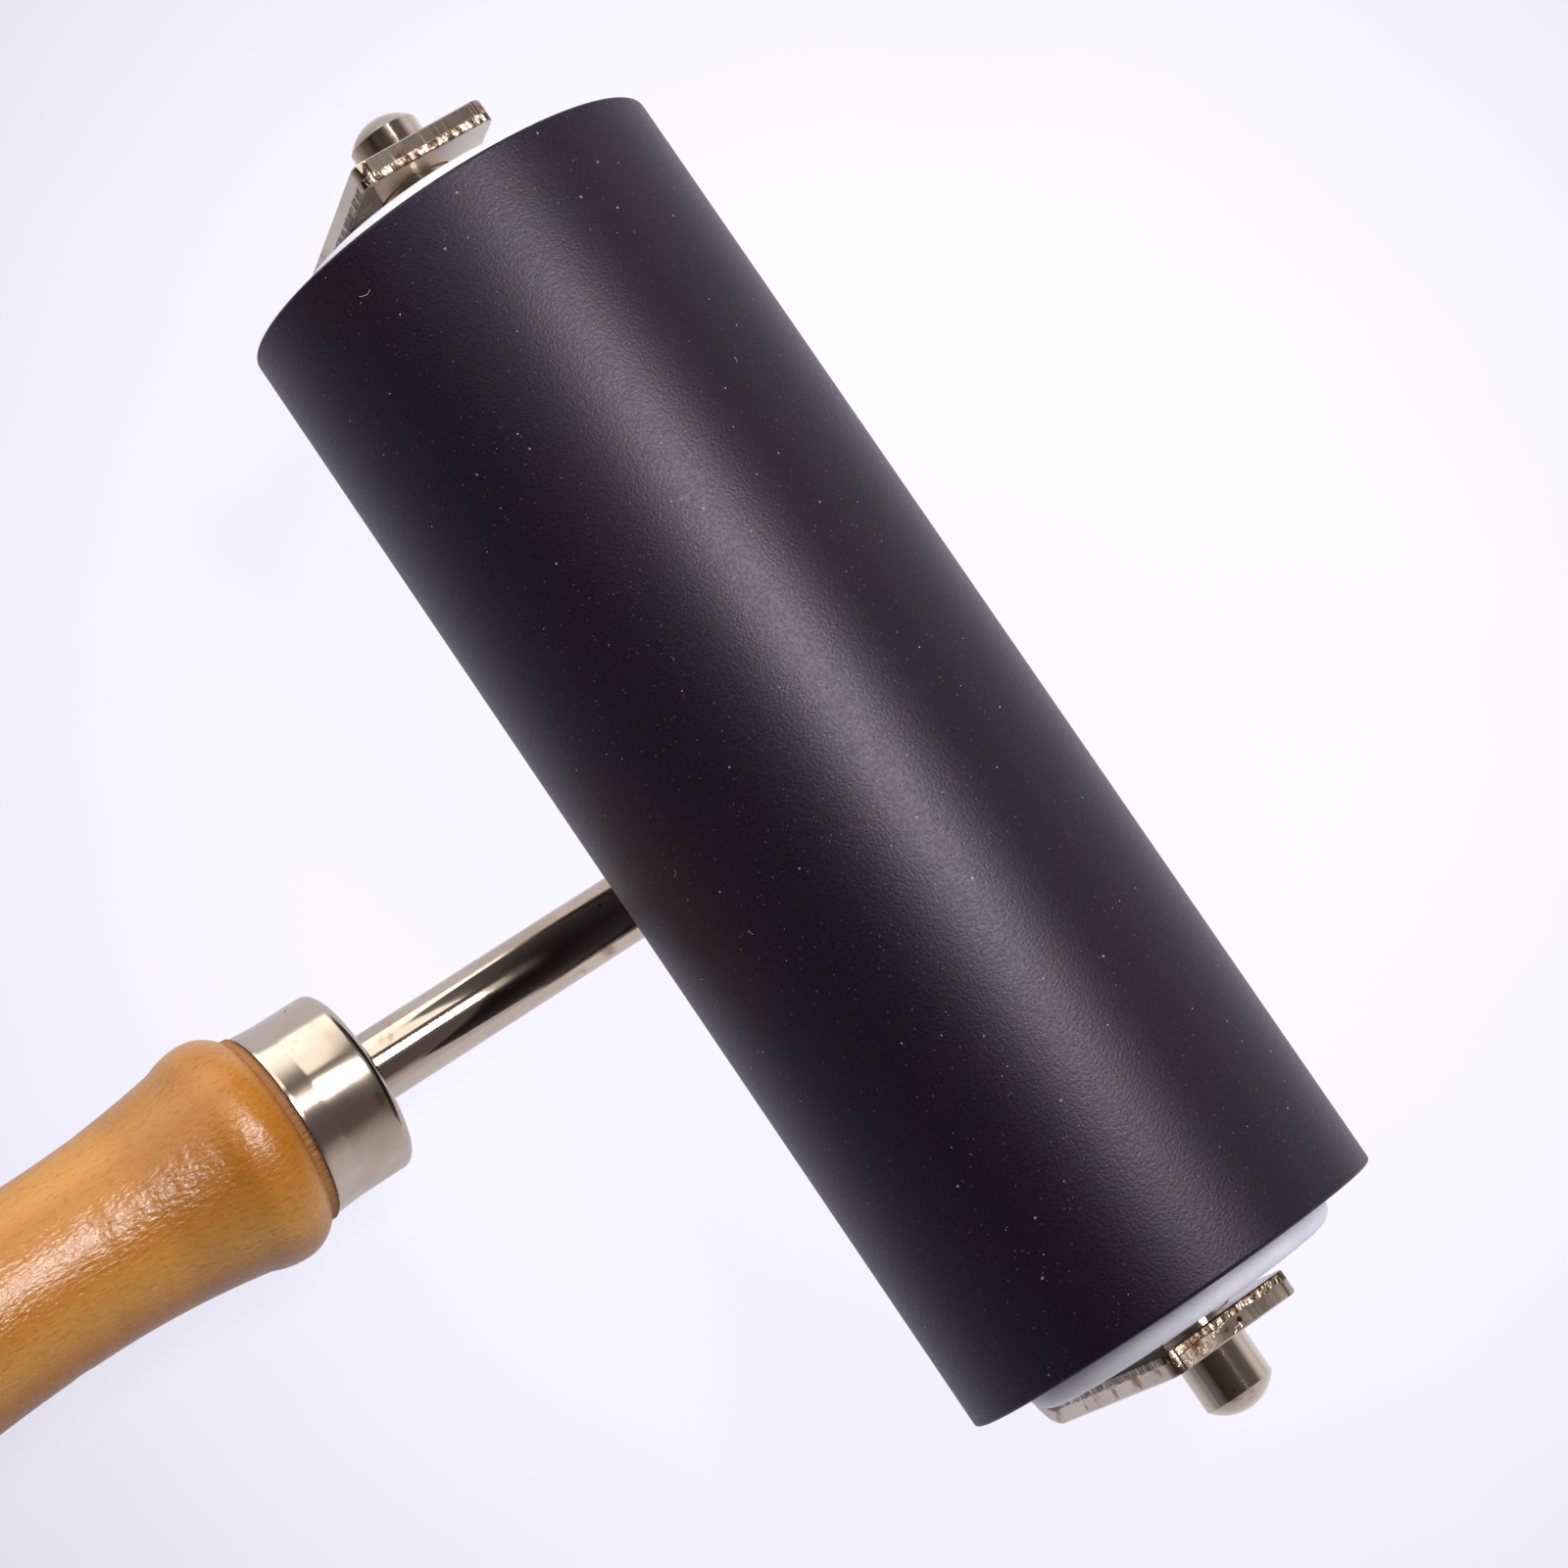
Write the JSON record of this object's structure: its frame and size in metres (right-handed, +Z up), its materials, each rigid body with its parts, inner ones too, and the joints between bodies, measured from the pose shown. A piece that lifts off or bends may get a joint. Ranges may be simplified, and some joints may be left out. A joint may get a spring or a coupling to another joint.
{
  "type": "rubber brayer",
  "caption": "Hand brayer: a rubber roller on a through axle in a U-shaped strip-steel yoke, with a steel shank, ferrule and turned wooden handle.",
  "frame": {"origin": "on the table, under the middle of the whole brayer's box, as it lies on its back", "axes": "+X forward from the handle to the roller, +Y to the left along the axle, +Z up from the yoke's back to the roller"},
  "size_m": [0.1646, 0.1216, 0.0502],
  "materials": {
    "black_rubber": "ground matte",
    "white_plastic": "moulded gloss",
    "nickel_plate": "nickel plated",
    "spring_steel": "plain",
    "ferrule_steel": "satin plated",
    "varnished_wood": "clear varnish"
  },
  "bodies": {
    "frame": {"yoke": "nickel_plate", "shank": "nickel_plate", "weld_beads": "nickel_plate", "ferrule": "ferrule_steel", "handle": "varnished_wood"},
    "axle_set": {"axle": "nickel_plate", "retaining_washer_left": "spring_steel", "retaining_washer_right": "spring_steel"},
    "roller": {"rubber_sleeve": "black_rubber", "core_tube": "white_plastic", "end_cap_left": "white_plastic", "end_cap_right": "white_plastic"}
  },
  "joints": [
    {"name": "axle_slide", "type": "slide", "parent": "frame", "child": "axle_set", "axis": [0, 1, 0], "range_m": [-0.0008, 0.0028]},
    {"name": "roller_spin", "type": "hinge", "parent": "axle_set", "child": "roller", "pos_m": [0.064, 0, 0.03187], "axis": [0, 1, 0], "continuous": true}
  ]
}
